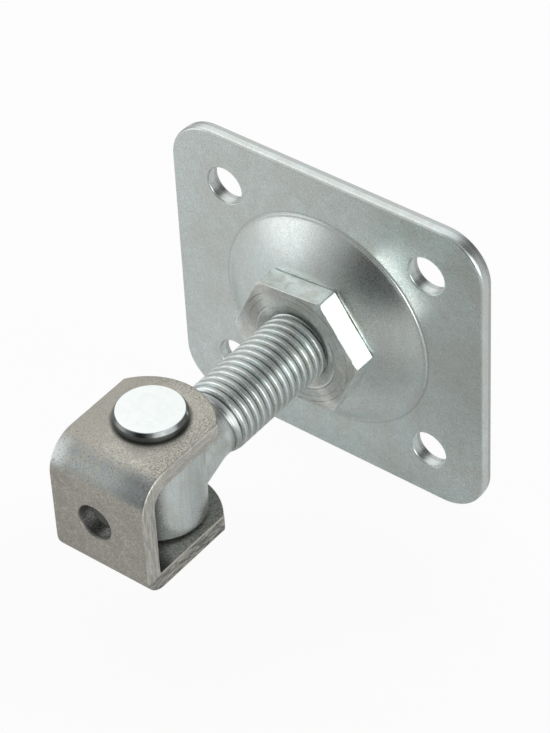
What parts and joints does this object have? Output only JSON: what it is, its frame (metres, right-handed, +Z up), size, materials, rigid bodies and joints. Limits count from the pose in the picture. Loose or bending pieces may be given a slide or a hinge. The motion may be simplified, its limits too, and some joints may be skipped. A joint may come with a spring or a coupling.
{
  "type": "adjustable door hinge",
  "caption": "Adjustable gate or door hinge: domed screw-on plate with a captive hex nut, threaded eye bolt, and a U-shaped weld-on bracket that swings on a flat-headed pin",
  "frame": {"origin": "centre of the four screw holes, on the plate's back face, which is also on the bolt's axis", "axes": "+Y out of the plate's back, towards what it is screwed to; -Y along the bolt to the bracket; +Z up along the hinge pin, to its head; +X to the right seen from the bracket"},
  "size_m": [0.1, 0.0982, 0.092],
  "materials": {
    "zinc_sheet": "zinc plated, satin, faintly mottled",
    "zinc_nut": "zinc plated, forged faces with turned chamfers",
    "zinc_forging": "zinc plated, forged and threaded",
    "pin_steel": "bright turned steel",
    "strap_steel": "bare rolled steel with pits and brown tarnish"
  },
  "bodies": {
    "plate": {"mounting_plate": "zinc_sheet", "retaining_washer": "zinc_nut"},
    "nut": {"adjusting_nut": "zinc_nut"},
    "bolt": {"eye_bolt": "zinc_forging"},
    "bracket": {"u_bracket": "strap_steel", "hinge_pin": "pin_steel"}
  },
  "joints": [
    {"name": "rod_travel", "type": "slide", "parent": "plate", "child": "bolt", "axis": [0, -1, 0], "range_m": [-0.02, 0.005]},
    {"name": "nut_turn", "type": "hinge", "parent": "plate", "child": "nut", "pos_m": [0, 0, 0], "axis": [0, 1, 0], "range_deg": [-2890, 730]},
    {"name": "bracket_swing", "type": "hinge", "parent": "bolt", "child": "bracket", "pos_m": [0, -0.0756, 0], "axis": [0, 0, 1], "range_deg": [-105, 105]}
  ],
  "couplings": [
    {"joint": "nut_turn", "follows": "rod_travel", "rad_per_m": 2513.3}
  ]
}
